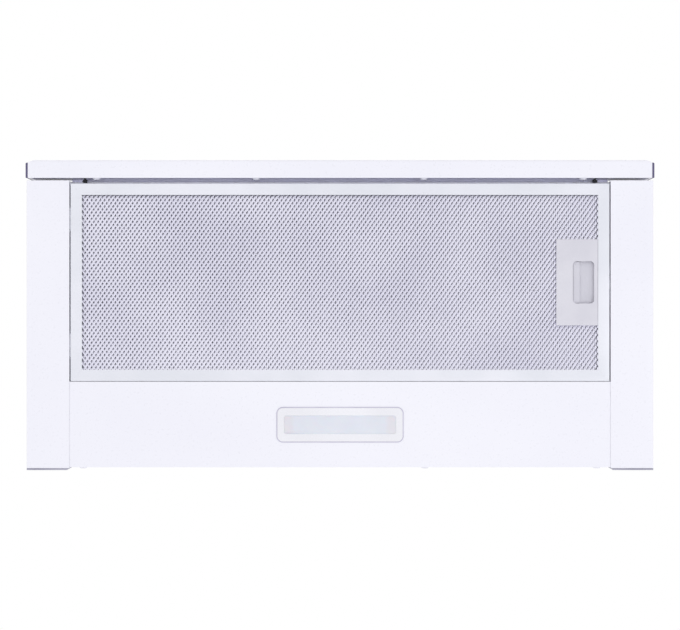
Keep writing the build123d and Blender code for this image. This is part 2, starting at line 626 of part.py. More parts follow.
# ball slides: a C member on each wall, a smaller C member on the visor, balls between their legs
slide_low_z = visor_low_z + slide_inset
slide_top_z = slide_low_z + slide_height
leg_gap = 2 * (ball_radius + ball_clear)
inner_low_z = slide_low_z + slide_steel + leg_gap
inner_top_z = slide_top_z - slide_steel - leg_gap
outer_tip_x = visor_x + 3.2
inner_tip_x = wall_in_x - 4.8
ball_x = (outer_tip_x + inner_tip_x) / 2
outer_front_y, outer_rear_y = housing_front_y, visor_rear_y + 2
inner_front_y = housing_front_y + 3
ball_levels = (slide_low_z + slide_steel + leg_gap / 2, slide_top_z - slide_steel - leg_gap / 2)
cage_mid_y = (outer_front_y + visor_rear_y - visor_travel) / 2 + visor_travel / 2
for side, s in SIDES:
    with BuildPart() as slide_outer:
        block((s * outer_tip_x, s * wall_in_x), (outer_front_y, outer_rear_y), (slide_low_z, slide_top_z))
        block((s * outer_tip_x, s * (wall_in_x - slide_steel)), (outer_front_y, outer_rear_y),
              (slide_low_z + slide_steel, slide_top_z - slide_steel), mode=Mode.SUBTRACT)
    save(slide_outer, f"slide_outer_{side}")
    with BuildPart() as slide_inner:
        block((s * visor_x, s * inner_tip_x), (inner_front_y, visor_rear_y), (inner_low_z, inner_top_z))
        block((s * (visor_x + slide_steel), s * inner_tip_x), (inner_front_y, visor_rear_y),
              (inner_low_z + slide_steel, inner_top_z - slide_steel), mode=Mode.SUBTRACT)
        block((s * visor_x, s * (visor_x + slide_steel)), (rail_back_y, inner_front_y),
              (inner_low_z, inner_top_z))
        block((s * visor_x, s * (wall_in_x - running_gap)), (rail_back_y, housing_front_y - running_gap),
              (inner_low_z, inner_low_z + slide_tab))
    save(slide_inner, f"slide_inner_{side}")

ball_pitch = cage_length / cage_balls
with BuildPart() as ball_cages:
    for side, s in SIDES:
        cage_web = (s * (inner_tip_x + 1.0), s * (inner_tip_x + 1.0 + cage_sheet))
        cage_y = (cage_mid_y - cage_length / 2, cage_mid_y + cage_length / 2)
        block(cage_web, cage_y, (ball_levels[0] - cage_sheet / 2, ball_levels[1] + cage_sheet / 2))
        for z in ball_levels:
            block((s * (outer_tip_x + 0.2), s * (inner_tip_x + 1.0)), cage_y,
                  (z - cage_sheet / 2, z + cage_sheet / 2))
            for i in range(cage_balls):
                rod((s * ball_x, cage_mid_y + (i - (cage_balls - 1) / 2) * ball_pitch, z), "Z",
                    ball_radius + 0.1, cage_sheet, mode=Mode.SUBTRACT)
save(ball_cages, "ball_cages")

with BuildPart() as slide_balls:
    for side, s in SIDES:
        for z in ball_levels:
            with Locations((s * ball_x, cage_mid_y, z)):
                with GridLocations(1, ball_pitch, 1, cage_balls):
                    Sphere(ball_radius)
save(slide_balls, "slide_balls")

# ---------------------------------------------------------------- blower
motor_start_x = scroll_x + moulding + motor_gap


def scroll_outline(grow):
    """Four-centre volute in the YZ plane, its outlet pointing up, grown outwards by grow."""
    half = scroll_step / 2
    centres = [(blower_y - half, blower_z - half), (blower_y + half, blower_z - half),
               (blower_y + half, blower_z + half)]
    radii = [scroll_radius + i * scroll_step + grow for i in range(3)]
    front = blower_y + outlet_front - grow
    back = centres[2][0] + radii[2]
    lean = front - centres[0][0]
    start_z = centres[0][1] + sqrt(radii[0] ** 2 - lean ** 2)
    start_angle = degrees(acos(lean / radii[0]))
    with BuildSketch(Plane.YZ) as outline:
        with BuildLine():
            Line((front, -sheet), (front, start_z))
            CenterArc(centres[0], radii[0], start_angle, 180 - start_angle)
            CenterArc(centres[1], radii[1], 180, 90)
            CenterArc(centres[2], radii[2], 270, 90)
            Line((back, centres[2][1]), (back, -sheet))
            Line((back, -sheet), (front, -sheet))
        make_face()
    return outline.sketch


for side, s in SIDES:
    with BuildPart() as scroll:
        extrude(scroll_outline(moulding), amount=s * (scroll_x + moulding))
        block((0, s * (scroll_x + 4)), (blower_y + outlet_front - 5, blower_y + outlet_rear + 5),
              (-sheet - 3, -sheet))
        extrude(scroll_outline(0), amount=s * scroll_x, mode=Mode.SUBTRACT)
        rod((s * scroll_x, blower_y, blower_z), "X", inlet_radius + 2, 4 * moulding)
        rod((s * scroll_x, blower_y, blower_z), "X", inlet_radius, 6 * moulding, mode=Mode.SUBTRACT)
    save(scroll, f"scroll_{side}")

shaft_plane = Plane(origin=(0, blower_y, blower_z), x_dir=(0, 1, 0), z_dir=(1, 0, 0))
with BuildPart() as blower_wheel:
    with BuildSketch(shaft_plane):
        with PolarLocations(wheel_radius - 4.6, blade_count):
            Rectangle(blade_chord, blade_thickness, rotation=blade_angle)
    extrude(amount=wheel_half_length - 1, both=True)
    for x in (-wheel_half_length, wheel_half_length - 2):
        with BuildSketch(shaft_plane.offset(x)):
            Circle(wheel_radius)
            Circle(wheel_radius - 6, mode=Mode.SUBTRACT)
        extrude(amount=2)
    rod((0, blower_y, blower_z), "X", wheel_radius, 2)
    rod((0, blower_y, blower_z), "X", 10, 20)
    rod((0, blower_y, blower_z), "X", shaft_radius, 20, mode=Mode.SUBTRACT)
save(blower_wheel, "blower_wheel")

shaft_start_x, shaft_end_x = -18.0, motor_start_x + motor_length + 4.0
motor_mid_x = motor_start_x + motor_length / 2
with BuildPart() as motor_shaft:
    rod(((shaft_start_x + shaft_end_x) / 2, blower_y, blower_z), "X", shaft_radius,
        shaft_end_x - shaft_start_x)
    rod((motor_mid_x, blower_y, blower_z), "X", motor_radius - 14, motor_length - 20)
save(motor_shaft, "motor_shaft")

with BuildPart() as wheel_nut:
    with BuildSketch(shaft_plane.offset(-10 - nut_length)):
        RegularPolygon(nut_radius, 6)
        Circle(shaft_radius + 0.02, mode=Mode.SUBTRACT)
    extrude(amount=nut_length)
save(wheel_nut, "wheel_nut")

with BuildPart() as motor_casing:
    rod((motor_mid_x, blower_y, blower_z), "X", motor_radius, motor_length)
    fillet(motor_casing.edges().filter_by(GeomType.CIRCLE), radius=6)
    rod((motor_mid_x, blower_y, blower_z), "X", motor_radius - 12, motor_length - 16, mode=Mode.SUBTRACT)
    rod((motor_mid_x, blower_y, blower_z), "X", shaft_radius + bearing_gap, motor_length, mode=Mode.SUBTRACT)
save(motor_casing, "motor_casing")

# bracket: a ring round the motor, three tabs and three legs to the scroll, each on a rubber grommet
scroll_face_x = scroll_x + moulding
ring_start_x, ring_length = motor_start_x + 16.0, 4.0
leg_start_x = scroll_face_x + 1.0
with BuildPart() as motor_bracket:
    with BuildSketch(shaft_plane.offset(ring_start_x)):
        Circle(motor_radius + 5)
        with PolarLocations(arm_circle, arm_count, start_angle=30):
            Circle(arm_radius + 2.5)
        Circle(motor_radius + 0.1, mode=Mode.SUBTRACT)
    extrude(amount=ring_length)
    with BuildSketch(shaft_plane.offset(leg_start_x)):
        with PolarLocations(arm_circle, arm_count, start_angle=30):
            Circle(arm_radius)
    extrude(amount=ring_start_x - leg_start_x)
save(motor_bracket, "motor_bracket")

with BuildPart() as motor_grommets:
    with BuildSketch(shaft_plane.offset(scroll_face_x)):
        with PolarLocations(arm_circle, arm_count, start_angle=30):
            Circle(arm_radius + grommet_wall)
    extrude(amount=grommet_length)
    with BuildSketch(shaft_plane.offset(leg_start_x)):
        with PolarLocations(arm_circle, arm_count, start_angle=30):
            Circle(arm_radius + 0.02)
    extrude(amount=grommet_length, mode=Mode.SUBTRACT)
save(motor_grommets, "motor_grommets")

# ---------------------------------------------------------------- outlet adapter and damper
boss_in_x = spigot_radius - adapter_wall - boss_depth
outlet_depth = outlet_rear - outlet_front
with BuildPart() as outlet_adapter:
    with BuildSketch():
        with Locations((0, spigot_y)):
            RectangleRounded(2 * adapter_half_x, 2 * adapter_half_y, adapter_corner)
    extrude(amount=adapter_flange)
    for grow, low_z, mode in ((adapter_wall, adapter_flange, Mode.ADD), (0, adapter_flange, Mode.SUBTRACT)):
        with BuildSketch(Plane.XY.offset(low_z)):
            with Locations((0, spigot_y)):
                RectangleRounded(2 * (outlet_half_width + grow), outlet_depth + 2 * grow,
                                 throat_corner + grow)
        with BuildSketch(Plane.XY.offset(spigot_base_z)):
            with Locations((0, spigot_y)):
                Circle(spigot_radius - adapter_wall + grow)
        loft(mode=mode)
    with BuildSketch(Plane.XY.offset(spigot_base_z)):
        with Locations((0, spigot_y)):
            Circle(spigot_radius)
            Circle(spigot_radius - adapter_wall, mode=Mode.SUBTRACT)
    extrude(amount=spigot_length)
    with BuildSketch():
        with Locations((0, spigot_y)):
            RectangleRounded(2 * outlet_half_width, outlet_depth, throat_corner)
    extrude(amount=adapter_flange, mode=Mode.SUBTRACT)
    with BuildSketch(Plane.XY.offset(flap_z - flap_thickness / 2 - 0.1 - ledge)):
        with Locations((0, spigot_y)):
            Circle(spigot_radius - 0.5)
            Circle(spigot_radius - adapter_wall - 3, mode=Mode.SUBTRACT)
    extrude(amount=ledge)
    block((-spigot_radius + 1, spigot_radius - 1), (spigot_y - pin_offset - 1, spigot_y + pin_offset + 1),
          (flap_z - pin_radius - running_gap - ledge, flap_z - pin_radius - running_gap))
    for s in (-1, 1):
        block((s * boss_in_x, s * (spigot_radius - 0.8)),
              (spigot_y - boss_half_width, spigot_y + boss_half_width),
              (flap_z - boss_half_height, flap_z + boss_half_height))
        for t in (-1, 1):
            rod((s * (boss_in_x + 2), spigot_y + t * pin_offset, flap_z), "X", pin_radius + pin_gap,
                4.0, mode=Mode.SUBTRACT)
    with BuildSketch():
        with Locations(*adapter_screws):
            Circle(screw_radius + screw_clear)
    extrude(amount=adapter_flange, mode=Mode.SUBTRACT)
save(outlet_adapter, "outlet_adapter")

flap_radius = spigot_radius - adapter_wall - flap_gap
for name, t in (("front", -1), ("rear", 1)):
    with BuildPart() as flap:
        with BuildSketch(Plane.XY.offset(flap_z - flap_thickness / 2)):
            with Locations((0, spigot_y)):
                Circle(flap_radius)
            with Locations((0, spigot_y - t * (spigot_radius - pin_offset))):
                Rectangle(2 * spigot_radius, 2 * spigot_radius, mode=Mode.SUBTRACT)
            for s in (-1, 1):
                with Locations((s * (boss_in_x + 10 - 0.5), spigot_y)):
                    Rectangle(20, 2 * (boss_half_width + 3), mode=Mode.SUBTRACT)
        extrude(amount=flap_thickness)
        rod((0, spigot_y + t * pin_offset, flap_z), "X", pin_radius, 2 * (boss_in_x + 3.8))
    save(flap, f"damper_flap_{name}")

# ---------------------------------------------------------------- electrical parts and screws
terminal_low_z = -sheet - terminal_size[2]
terminal_y = wall_rear_y - sheet - terminal_size[1] / 2
with BuildPart() as terminal_box:
    with Locations((gland_x, terminal_y, -sheet - terminal_size[2] / 2)):
        Box(*terminal_size)
    with Locations((gland_x, terminal_y, -sheet - terminal_size[2] / 2)):
        Box(terminal_size[0] - 2 * terminal_wall, terminal_size[1] - 2 * terminal_wall, terminal_size[2],
            mode=Mode.SUBTRACT)
save(terminal_box, "terminal_box")

with BuildPart() as terminal_cover:
    with Locations((gland_x, terminal_y, terminal_low_z - 1)):
        Box(terminal_size[0] + 2, terminal_size[1] - 1, 2)
    fillet(terminal_cover.edges().filter_by(Axis.Z), radius=2)
save(terminal_cover, "terminal_cover")

with BuildPart() as cable_gland:
    with BuildSketch():
        with Locations((gland_x, gland_y)):
            RegularPolygon(gland_radius + 1.5, 6)
    extrude(amount=6)
    rod((gland_x, gland_y, 9), "Z", gland_radius - 1, 6)
    rod((gland_x, gland_y, -4), "Z", gland_radius - 2.1, 8)
    fillet(cable_gland.edges().filter_by(GeomType.CIRCLE).group_by(Axis.Z)[-1], radius=2.5)
    rod((gland_x, gland_y, 2), "Z", gland_bore, gland_bore_length, mode=Mode.SUBTRACT)
save(cable_gland, "cable_gland")

capacitor_x = -scroll_x - capacitor_offset
capacitor_z = -sheet - 2.0 - capacitor_radius
with BuildPart() as capacitor:
    rod((capacitor_x, capacitor_y, capacitor_z), "Y", capacitor_radius, capacitor_length)
    fillet(capacitor.edges().filter_by(GeomType.CIRCLE), radius=1.5)
    for x in (-3.5, 3.5):
        rod((capacitor_x + x, capacitor_y + capacitor_length / 2 + 3, capacitor_z), "Y", 1.5, 7)
save(capacitor, "capacitor")

clip_radius = capacitor_radius + clip_clear
with BuildPart() as capacitor_clip:
    rod((capacitor_x, capacitor_y, capacitor_z), "Y", clip_radius + clip_steel, clip_width)
    block((capacitor_x - clip_foot, capacitor_x + clip_foot),
          (capacitor_y - clip_width / 2, capacitor_y + clip_width / 2), (-sheet - clip_steel, -sheet))
    rod((capacitor_x, capacitor_y, capacitor_z), "Y", clip_radius, clip_width, mode=Mode.SUBTRACT)
save(capacitor_clip, "capacitor_clip")

# microswitch on the upright behind the filter; its plunger rests against a tab on the visor's cover
plunger_tip_y = visor_rear_y + running_gap
plunger_end_y = panel_front_y + sheet + 6.0
with BuildPart() as microswitch:
    block((switch_x - switch_size[0] / 2, switch_x + switch_size[0] / 2),
          (panel_front_y + sheet, panel_front_y + sheet + switch_size[1]),
          (plunger_z - switch_size[2] / 2, plunger_z + switch_size[2] / 2 - 3))
    rod((switch_x, panel_front_y + sheet + 3.5, plunger_z), "Y", plunger_radius + plunger_gap, 7.0,
        mode=Mode.SUBTRACT)
save(microswitch, "microswitch")

with BuildPart() as switch_plunger:
    rod((switch_x, (plunger_tip_y + plunger_end_y) / 2, plunger_z), "Y", plunger_radius,
        plunger_end_y - plunger_tip_y)
    fillet(switch_plunger.edges().filter_by(GeomType.CIRCLE).group_by(Axis.Y)[0], radius=0.8)
save(switch_plunger, "switch_plunger")

with BuildPart() as housing_screws:
    for x in rear_screw_x:
        pan_head_screw(x, wall_rear_y, rear_screw_z)
    for x, y in adapter_screws:
        rod((x, y, adapter_flange + screw_head_height / 2), "Z", screw_head_radius, screw_head_height)
        rod((x, y, adapter_flange / 2 - sheet), "Z", screw_radius, adapter_flange + 2 * sheet)
save(housing_screws, "housing_screws")
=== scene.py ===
import json
import math

import bmesh
import bpy
from mathutils import Matrix, Vector


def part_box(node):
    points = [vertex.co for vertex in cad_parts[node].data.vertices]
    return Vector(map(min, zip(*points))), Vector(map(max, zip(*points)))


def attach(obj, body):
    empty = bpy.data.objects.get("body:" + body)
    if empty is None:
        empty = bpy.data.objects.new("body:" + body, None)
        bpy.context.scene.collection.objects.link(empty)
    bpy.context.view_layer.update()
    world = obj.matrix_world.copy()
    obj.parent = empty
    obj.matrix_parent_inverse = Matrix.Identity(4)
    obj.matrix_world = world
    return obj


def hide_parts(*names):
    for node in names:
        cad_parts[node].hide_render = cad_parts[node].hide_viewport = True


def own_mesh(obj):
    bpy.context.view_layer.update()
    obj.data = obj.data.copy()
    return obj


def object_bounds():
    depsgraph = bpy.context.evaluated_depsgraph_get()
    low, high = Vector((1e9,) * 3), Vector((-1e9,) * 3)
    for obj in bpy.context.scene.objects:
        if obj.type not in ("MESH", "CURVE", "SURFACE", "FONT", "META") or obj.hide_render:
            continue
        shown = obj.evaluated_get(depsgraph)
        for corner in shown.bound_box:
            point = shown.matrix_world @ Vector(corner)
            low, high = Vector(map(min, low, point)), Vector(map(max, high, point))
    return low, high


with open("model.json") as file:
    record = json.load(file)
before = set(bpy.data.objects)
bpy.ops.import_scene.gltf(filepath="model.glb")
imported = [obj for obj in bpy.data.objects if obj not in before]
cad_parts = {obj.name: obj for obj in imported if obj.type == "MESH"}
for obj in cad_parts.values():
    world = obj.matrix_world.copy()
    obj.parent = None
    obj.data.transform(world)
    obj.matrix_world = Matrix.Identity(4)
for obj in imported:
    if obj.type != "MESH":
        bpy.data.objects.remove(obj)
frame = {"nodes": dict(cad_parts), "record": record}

MM = 0.001
cad_low, cad_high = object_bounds()
nodes = frame["nodes"]
body_of = {name: body for body, names in frame["record"]["behaviour"]["bodies"].items() for name in names}


# ---------------------------------------------------------------- small tools
def srgb(code):
    """A hex colour such as F2F2F9 as linear red, green, blue and alpha."""
    values = [int(code[i:i + 2], 16) / 255 for i in (0, 2, 4)]
    return tuple(v / 12.92 if v <= 0.04045 else ((v + 0.055) / 1.055) ** 2.4 for v in values) + (1.0,)


def add(tree, kind, inputs=None, **settings):
    """Add a node to a tree, with its settings and with values or links for its inputs."""
    made = tree.nodes.new(kind)
    for name, value in settings.items():
        setattr(made, name, value)
    for name, value in (inputs or {}).items():
        if isinstance(value, bpy.types.NodeSocket):
            tree.links.new(value, made.inputs[name])
        else:
            made.inputs[name].default_value = value
    return made


def new_piece(name, mesh):
    """An object at the origin that carries the given mesh, curve, light or camera."""
    piece = bpy.data.objects.new(name, mesh)
    bpy.context.scene.collection.objects.link(piece)
    return piece


def plain(obj, name, move=None):
    """Work an object's modifiers or curve into a plain mesh, move it, and drop the original."""
    bpy.context.view_layer.update()
    graph = bpy.context.evaluated_depsgraph_get()
    mesh = bpy.data.meshes.new_from_object(obj.evaluated_get(graph), depsgraph=graph)
    mesh.transform((move or Matrix.Identity(4)) @ obj.matrix_world)
    bpy.data.objects.remove(obj)
    mesh.name = name
    return new_piece(name, mesh)


def soft_shading(piece, angle=35):
    """Smooth shading that keeps every edge sharper than the angle, in degrees."""
    piece.data.shade_smooth()
    piece.data.set_sharp_from_angle(angle=math.radians(angle))


def paint(piece, material):
    piece.data.materials.clear()
    piece.data.materials.append(material)


def fit_out(piece, material, like, replaced=()):
    """Give a piece its material and body of the CAD node that it is like, and what it replaces."""
    paint(piece, material)
    if replaced:
        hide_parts(*replaced)
    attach(piece, body_of[like])
    return piece


def bevelled(obj, width, segments=2, angle=40):
    """Add rounded edges, width in millimetres, where faces meet at more than the angle."""
    bevel = obj.modifiers.new("rounded edges", "BEVEL")
    bevel.width = width * MM
    bevel.segments = segments
    bevel.limit_method = "ANGLE"
    bevel.angle_limit = math.radians(angle)
    bevel.use_clamp_overlap = True
    return obj


def blocks(name, boxes):
    """One object made of closed boxes, each given by its lowest and highest corner in metres."""
    bm = bmesh.new()
    for low, high in boxes:
        low, high = Vector(low), Vector(high)
        size = high - low
        place = Matrix.Translation((low + high) / 2) @ Matrix.Diagonal((*size, 1))
        bmesh.ops.create_cube(bm, size=1, matrix=place)
    mesh = bpy.data.meshes.new(name)
    bm.to_mesh(mesh)
    bm.free()
    return new_piece(name, mesh)


def set_inputs(modifier, values):
    """Set a geometry nodes modifier's inputs, which go by identifier, from their names."""
    for item in modifier.node_group.interface.items_tree:
        if item.item_type == "SOCKET" and item.in_out == "INPUT" and item.name in values:
            modifier[item.identifier] = values[item.name]


def node_group(name, inputs):
    """An empty geometry nodes tree with its named inputs; returns the tree and what it is given."""
    tree = bpy.data.node_groups.new(name, "GeometryNodeTree")
    tree.interface.new_socket(name="Geometry", in_out="OUTPUT", socket_type="NodeSocketGeometry")
    tree.interface.new_socket(name="Geometry", in_out="INPUT", socket_type="NodeSocketGeometry")
    for label, kind in inputs:
        tree.interface.new_socket(name=label, in_out="INPUT", socket_type="NodeSocket" + kind)
    given = add(tree, "NodeGroupInput").outputs
    return tree, given


# ---------------------------------------------------------------- materials
def surface(name, dark, light, patch, grain, depth, rough, metallic=0.0, stretch=(1, 1, 1)):
    """A material that drifts between two colours over patches, with a fine grain in its gloss and relief.

    patch, grain and depth are in millimetres, rough is the range of roughness, and stretch squeezes the
    grain along X, Y and Z, so that a small number draws it out into lines."""
    material = bpy.data.materials.new(name)
    material.use_nodes = True
    tree = material.node_tree
    tree.nodes.clear()
    place = add(tree, "ShaderNodeTexCoord").outputs["Object"]
    broad = add(tree, "ShaderNodeTexNoise", {"Vector": place, "Scale": 1 / (patch * MM), "Detail": 2.0})
    drift = add(tree, "ShaderNodeMapRange",
                {"Value": broad.outputs["Fac"], "From Min": 0.35, "From Max": 0.65})
    colour = add(tree, "ShaderNodeMix", {"Factor": drift.outputs["Result"], 6: srgb(dark), 7: srgb(light)},
                 data_type="RGBA")
    drawn = add(tree, "ShaderNodeMapping", {"Vector": place, "Scale": stretch})
    fine = add(tree, "ShaderNodeTexNoise",
               {"Vector": drawn.outputs["Vector"], "Scale": 1 / (grain * MM), "Detail": 3.0})
    gloss = add(tree, "ShaderNodeMapRange",
                {"Value": fine.outputs["Fac"], "From Min": 0.3, "From Max": 0.7,
                 "To Min": rough[0], "To Max": rough[1]})
    relief = add(tree, "ShaderNodeBump",
                 {"Height": fine.outputs["Fac"], "Strength": 0.5, "Distance": depth * MM})
    shader = add(tree, "ShaderNodeBsdfPrincipled",
                 {"Base Color": colour.outputs[2], "Roughness": gloss.outputs["Result"],
                  "Normal": relief.outputs["Normal"], "Metallic": metallic})
    add(tree, "ShaderNodeOutputMaterial", {"Surface": shader.outputs["BSDF"]})
    return material


def tune(material, **values):
    """Set plain values on a material's shader, by the names of its sockets with _ for a space."""
    shader = next(n for n in material.node_tree.nodes if n.type == "BSDF_PRINCIPLED")
    for name, value in values.items():
        shader.inputs[name.replace("_", " ")].default_value = value
    return material


# Stove enamel on sheet steel, sprayed and baked: satin, faintly lilac white, with a slight orange peel.
enamel = surface("stove enamel, satin white", "EDEDF3", "F0F0F5", 160, 2.2, 0.010, (0.26, 0.34))
tune(enamel, Coat_Weight=0.15, Coat_Roughness=0.25)
# The same enamel, darkened and blued as painted shade, on the visor's frame and on the plate behind the
# rail, which are seen only up in the shaded gaps.
shaded_enamel = surface("enamel with painted shade, blue white", "D6D6E9", "DBDBED", 120, 2.2, 0.010, (0.30, 0.40))
screw_enamel = surface("white coated screw steel", "E6E6EE", "F1F1F6", 3, 0.5, 0.010, (0.25, 0.4))
# ABS mouldings: an even, fine spark-eroded texture.
bezel_plastic = surface("ABS, semi-gloss white", "E9E9EC", "EEEEF1", 60, 0.8, 0.004, (0.22, 0.30))
latch_plastic = surface("ABS, fine texture, light grey", "D2D1D8", "D9D8DE", 30, 0.7, 0.012, (0.42, 0.55))
# The slider takes the latch's light grey plastic, darkened as painted shade for its place down in the
# recess.
shaded_slider_plastic = surface("ABS, fine texture, grey with painted shade", "CAC9D1", "D1D0D7", 30, 0.7, 0.012, (0.42, 0.55))
cap_plastic = surface("ABS, fine texture, grey violet", "55506F", "605A7B", 20, 0.7, 0.010, (0.40, 0.55))
trim_plastic = surface("PVC edge trim, grey", "9A99A8", "ADACB9", 25, 0.7, 0.010, (0.45, 0.6))
white_plastic = surface("polypropylene, natural white", "DADADD", "E6E6E8", 40, 0.9, 0.010, (0.40, 0.52))
black_plastic = surface("polypropylene, black, satin", "1B1B1E", "26262A", 45, 0.9, 0.020, (0.38, 0.55))
button_plastic = surface("ABS, semi-gloss light grey", "DDDDE3", "E6E6EB", 12, 0.6, 0.006, (0.25, 0.34))
# Closed-cell foam: matt, a thin seal whose violet-grey paints the shade line round the bezel.
shade_line_foam = surface("polyethylene foam, grey violet, painting the shade line", "C0BDCE", "CAC7D6", 20, 0.8, 0.020, (0.6, 0.75))
rubber = surface("EPDM rubber, black", "17171A", "222226", 8, 0.6, 0.020, (0.65, 0.8))
# Mill-finish aluminium: rolling lines along X, a bright soft reflection.
frame_aluminium = surface("aluminium, mill finish", "E2E4E9", "EAEBF0", 70, 0.9, 0.006, (0.30, 0.42),
                          metallic=1.0, stretch=(0.06, 1, 1))
mesh_aluminium = surface("expanded aluminium foil", "E3E2EE", "EBEAF4", 90, 0.7, 0.010, (0.30, 0.45),
                         metallic=1.0)
# Bright zinc plate: crisp reflection broken up by the plating's faint spangle.
zinc = surface("steel, bright zinc plated", "B9BBC2", "CDCFD4", 9, 0.8, 0.006, (0.22, 0.40), metallic=1.0)
# Blue passivated zinc on the slides' inner members, cooler and a little duller than bright zinc.
slide_zinc = surface("steel, blue passivated zinc", "CBCAE3", "D9D8EE", 9, 0.8, 0.006, (0.28, 0.42),
                     metallic=1.0)
spring_steel = surface("spring steel, ground", "8D8E94", "A3A4A9", 10, 0.5, 0.006, (0.18, 0.30),
                       metallic=1.0, stretch=(1, 0.1, 1))
motor_paint = surface("hammer-finish enamel, grey", "7C7E84", "8B8D93", 14, 2.4, 0.060, (0.30, 0.42))
board = surface("glass-epoxy board, green resist", "123F22", "1D5A33", 6, 1.2, 0.020, (0.25, 0.40))
ink = surface("pad-printed ink, dark grey", "2E2E33", "3A3A40", 4, 0.4, 0.002, (0.45, 0.55))


def lens_material(half_width, end_zone):
    """Frosted polycarbonate over a lamp board: cool in the middle, warmer where its ends are plain."""
    material = surface("polycarbonate, frosted", "DDE0E7", "E1E4EB", 30, 0.8, 0.006, (0.35, 0.45))
    tree = material.node_tree
    shader = next(n for n in tree.nodes if n.type == "BSDF_PRINCIPLED")
    frost = shader.inputs["Base Color"].links[0].from_socket
    place = add(tree, "ShaderNodeTexCoord").outputs["Object"]
    across = add(tree, "ShaderNodeSeparateXYZ", {"Vector": place}).outputs["X"]
    from_middle = add(tree, "ShaderNodeMath", {0: across}, operation="ABSOLUTE").outputs["Value"]
    border, blend = half_width - end_zone, 2 * MM
    at_end = add(tree, "ShaderNodeMapRange",
                 {"Value": from_middle, "From Min": border - blend,
                  "From Max": border + blend}).outputs["Result"]
    colour = add(tree, "ShaderNodeMix", {"Factor": at_end, 6: frost, 7: srgb("DFDDE2")},
                 data_type="RGBA")
    tree.links.new(colour.outputs[2], shader.inputs["Base Color"])
    shader.inputs["Subsurface Weight"].default_value = 0.15
    shader.inputs["Subsurface Scale"].default_value = 2 * MM
    return material


lens_low, lens_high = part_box("lamp_diffuser")
behind_bezel, plain_end = 2.4 * MM, 8.5 * MM
lens = lens_material((lens_high.x - lens_low.x) / 2 - behind_bezel, plain_end)


# ---------------------------------------------------------------- CAD pieces with rounded edges
def rounded(name, material, width):
    """A copy of a CAD node with its flat faces merged and its edges rounded, standing for that node."""
    mesh = nodes[name].data.copy()
    bm = bmesh.new()
    bm.from_mesh(mesh)
    bmesh.ops.remove_doubles(bm, verts=bm.verts, dist=0.002 * MM)
    bmesh.ops.dissolve_limit(bm, angle_limit=math.radians(0.6), verts=bm.verts, edges=bm.edges)
    bm.to_mesh(mesh)
    bm.free()
    if mesh.has_custom_normals:
        mesh.attributes.remove(mesh.attributes["custom_normal"])
    piece = plain(bevelled(new_piece(name + "_rough", mesh), width), name + "_bevelled")
    soft_shading(piece)
    # normals lean on the largest face, so that flat sheet shades flat up to its rounded edges
    piece.modifiers.new("weighted normals", "WEIGHTED_NORMAL").keep_sharp = True
    return fit_out(plain(piece, name + "_shell"), material, name, [name])


# Each CAD node that keeps its shape: its material, and its edge radius in millimetres, 0 to leave it be.
FINISHES = {
    "front_rail": (enamel, 0.35), "side_filler_left": (enamel, 0.3), "side_filler_right": (enamel, 0.3),
    "lamp_panel": (enamel, 0.25), "side_wall_left": (enamel, 0.3), "side_wall_right": (enamel, 0.3),
    "rear_wall": (enamel, 0.3), "front_panel": (enamel, 0.3), "top_plate": (enamel, 0.3),
    # the plate behind the rail and the visor's frame take the enamel darkened as painted shade
    "filter_seat": (enamel, 0.25), "rail_back_plate": (shaded_enamel, 0.25),
    "visor_frame": (shaded_enamel, 0.3), "visor_cover": (enamel, 0.3),
    "rail_end_cap_left": (cap_plastic, 0.3), "rail_end_cap_right": (cap_plastic, 0.3),
    "filler_rear_trims": (trim_plastic, 0.4),
    "lamp_bezel": (bezel_plastic, 0.45), "latch_plate": (latch_plastic, 0.35),
    # the slider takes the latch plastic darkened as painted shade
    "latch_slider": (shaded_slider_plastic, 0.4), "outlet_adapter": (black_plastic, 0.3),
    "damper_flap_front": (black_plastic, 0.25), "damper_flap_rear": (black_plastic, 0.25),
    "scroll_left": (black_plastic, 0.4), "scroll_right": (black_plastic, 0.4),
    "terminal_box": (white_plastic, 0.6), "terminal_cover": (white_plastic, 0.5),
    "lamp_driver": (white_plastic, 0.5), "lamp_board": (board, 0.1), "control_board": (board, 0.2),
    "microswitch": (black_plastic, 0.4), "switch_plunger": (button_plastic, 0),
    "capacitor": (white_plastic, 0), "capacitor_clip": (zinc, 0), "cable_gland": (black_plastic, 0.4),
    "motor_casing": (motor_paint, 0), "motor_bracket": (zinc, 0.3), "motor_grommets": (rubber, 0.4),
    "motor_shaft": (spring_steel, 0), "blower_wheel": (black_plastic, 0), "wheel_nut": (zinc, 0.3),
    "rail_bumpers": (rubber, 0), "filter_catch": (spring_steel, 0.1), "ball_cages": (zinc, 0.1),
    "slide_balls": (spring_steel, 0), "slide_outer_left": (zinc, 0.3), "slide_outer_right": (zinc, 0.3),
    "slide_inner_left": (slide_zinc, 0.3), "slide_inner_right": (slide_zinc, 0.3),
}
for name, (material, width) in FINISHES.items():
    if width:
        rounded(name, material, width)
    else:
        paint(nodes[name], material)


# ---------------------------------------------------------------- expanded mesh
DIAMOND = 4.11                  # pitch across of the mesh's diamonds, mm
DIAMOND_ROW = 2.95              # from row to row, half a diamond
MESH_FOIL, MESH_RIPPLE = 0.25, 0.3      # thickness, and how far the sheet is from flat, mm
SWELLS_PER_METRE = 22.0         # how close together the ripples are
STRAND_LAP = 0.35               # of a strand's width, by which strands run into each other at a knot
NOWHERE = ((9.0, 9.0, 0.0), (9.0, 9.0, 0.0))    # a gap that lies off the sheet


